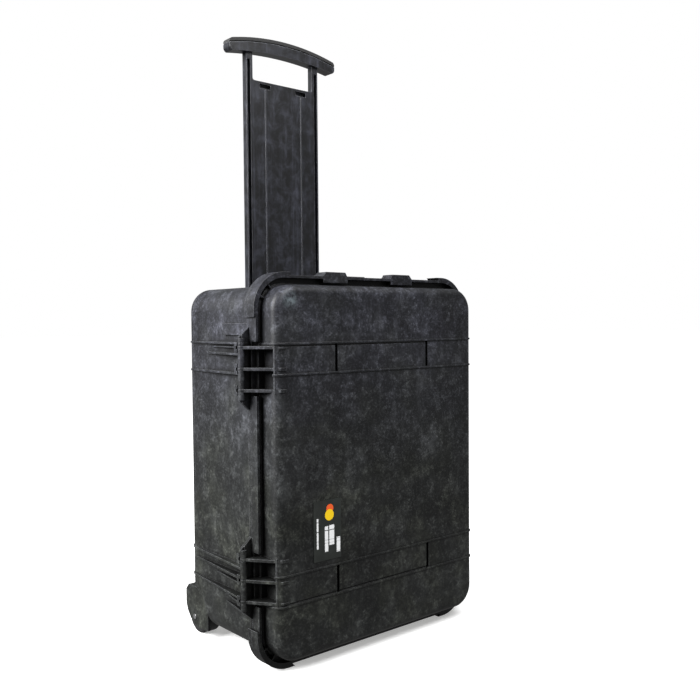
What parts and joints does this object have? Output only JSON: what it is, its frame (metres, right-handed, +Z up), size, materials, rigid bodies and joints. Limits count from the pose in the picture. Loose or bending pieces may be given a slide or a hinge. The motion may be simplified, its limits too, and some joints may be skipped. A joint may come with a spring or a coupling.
{
  "type": "drone carrying case",
  "caption": "Wheeled hard-shell drone carrying case, closed, standing on its wheel end with the flat trolley handle pulled out",
  "frame": {"origin": "on the floor under the middle of the overall box", "axes": "+Z up along the case's long side to the trolley grip, -Y out of the lid, +X to the latch side"},
  "size_m": [0.4545, 0.265, 0.965],
  "materials": {
    "shell_plastic": "moulded black polypropylene, fine grain, faint mottling",
    "latch_plastic": "smooth black moulded plastic",
    "trolley_plastic": "smooth black plastic with a low sheen",
    "hub_plastic": "dark grey moulded plastic",
    "grip_rubber": "soft black grip rubber",
    "seal_rubber": "soft black sealing rubber",
    "tyre_rubber": "solid black rubber tyre",
    "steel": "stainless steel",
    "label_film": "printed plastic label, no lettering",
    "foam": "dense closed-cell foam"
  },
  "bodies": {
    "base": {"base_shell": "shell_plastic", "hinge_pins": "steel", "latch_base_pins": "steel", "padlock_plates_base": "steel", "top_handle_pins": "steel", "side_handle_pins": "steel", "valve_body": "latch_plastic", "valve_seal": "seal_rubber", "valve_cap": "latch_plastic", "valve_nut": "latch_plastic", "trolley_guide": "shell_plastic", "guide_screws": "steel", "guide_bushes": "latch_plastic", "catch_pin": "steel", "catch_spring": "steel", "wheel_housing_left": "shell_plastic", "wheel_axle_left": "steel", "wheel_housing_right": "shell_plastic", "wheel_axle_right": "steel", "housing_screws": "steel", "foam_tray": "foam", "foam_floor": "foam"},
    "lid": {"lid_shell": "shell_plastic", "lid_gasket": "seal_rubber", "lid_label": "label_film", "padlock_plates_lid": "steel", "foam_lid": "foam"},
    "hook_lower": {"latch_hook_lower": "latch_plastic", "latch_lever_pin_lower": "steel"},
    "lever_lower": {"latch_lever_lower": "latch_plastic"},
    "hook_upper": {"latch_hook_upper": "latch_plastic", "latch_lever_pin_upper": "steel"},
    "lever_upper": {"latch_lever_upper": "latch_plastic"},
    "top_handle": {"top_handle_core": "latch_plastic", "top_handle_grip": "grip_rubber"},
    "side_handle": {"side_handle_core": "latch_plastic", "side_handle_grip": "grip_rubber"},
    "trolley": {"trolley_plate": "trolley_plastic", "trolley_grip": "trolley_plastic", "trolley_grip_cap": "grip_rubber", "trolley_slide_pads": "latch_plastic"},
    "catch": {"trolley_catch": "latch_plastic"},
    "wheel_left": {"wheel_tyre_left": "tyre_rubber", "wheel_hub_left": "hub_plastic", "wheel_bush_left": "hub_plastic"},
    "wheel_right": {"wheel_tyre_right": "tyre_rubber", "wheel_hub_right": "hub_plastic", "wheel_bush_right": "hub_plastic"}
  },
  "joints": [
    {"name": "lid_hinge", "type": "hinge", "parent": "base", "child": "lid", "pos_m": [-0.222, -0.0845, 0.2805], "axis": [0, 0, -1], "range_deg": [0, 100]},
    {"name": "hook_lower_hinge", "type": "hinge", "parent": "base", "child": "hook_lower", "pos_m": [0.206, -0.04, 0.1345], "axis": [0, 0, 1], "range_deg": [-3, 60]},
    {"name": "lever_lower_hinge", "type": "hinge", "parent": "hook_lower", "child": "lever_lower", "pos_m": [0.211, -0.077, 0.1345], "axis": [0, 0, -1], "range_deg": [0, 60]},
    {"name": "hook_upper_hinge", "type": "hinge", "parent": "base", "child": "hook_upper", "pos_m": [0.206, -0.04, 0.4265], "axis": [0, 0, 1], "range_deg": [-3, 60]},
    {"name": "lever_upper_hinge", "type": "hinge", "parent": "hook_upper", "child": "lever_upper", "pos_m": [0.211, -0.077, 0.4265], "axis": [0, 0, -1], "range_deg": [0, 60]},
    {"name": "top_handle_hinge", "type": "hinge", "parent": "base", "child": "top_handle", "pos_m": [0, -0.066, 0.5525], "axis": [1, 0, 0], "range_deg": [0, 90]},
    {"name": "side_handle_hinge", "type": "hinge", "parent": "base", "child": "side_handle", "pos_m": [0.205, -0.066, 0.2805], "axis": [0, 0, -1], "range_deg": [0, 90]},
    {"name": "trolley_slide", "type": "slide", "parent": "base", "child": "trolley", "axis": [0, 0, 1], "range_m": [-0.385, 0]},
    {"name": "catch_hinge", "type": "hinge", "parent": "base", "child": "catch", "pos_m": [0, 0.111, 0.528], "axis": [1, 0, 0], "range_deg": [0, 7]},
    {"name": "wheel_left_axle", "type": "hinge", "parent": "base", "child": "wheel_left", "pos_m": [-0.171, 0.103, 0.0275], "axis": [1, 0, 0], "continuous": true},
    {"name": "wheel_right_axle", "type": "hinge", "parent": "base", "child": "wheel_right", "pos_m": [0.171, 0.103, 0.0275], "axis": [1, 0, 0], "continuous": true}
  ]
}
